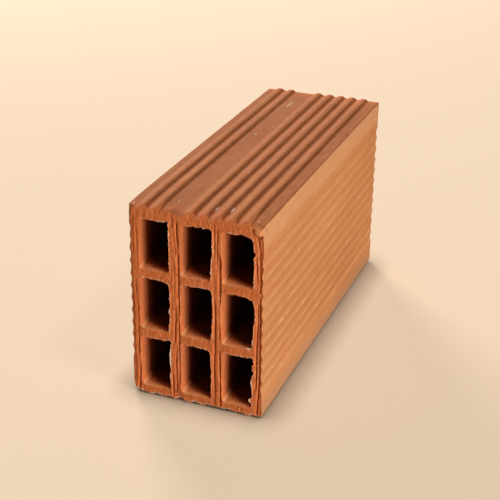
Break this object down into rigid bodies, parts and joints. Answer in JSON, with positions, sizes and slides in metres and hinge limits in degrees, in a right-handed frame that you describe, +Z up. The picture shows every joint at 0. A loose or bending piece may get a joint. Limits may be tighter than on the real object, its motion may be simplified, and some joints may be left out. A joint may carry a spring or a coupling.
{
  "type": "hollow clay brick",
  "caption": "Hollow fired-clay wall brick with rectangular cells open from end to end, keying ribs along its beds and soft waves along its sides.",
  "frame": {"origin": "middle of the lower bed face, which the brick stands on", "axes": "+Z up through the beds, +Y along the cells, +X across the width towards the side where the upper bed has five ribs"},
  "size_m": [0.12, 0.33, 0.18],
  "materials": {
    "fired_clay": "matt, rough, unglazed fired clay"
  },
  "bodies": {
    "root": {"brick_body": "fired_clay"}
  },
  "joints": []
}
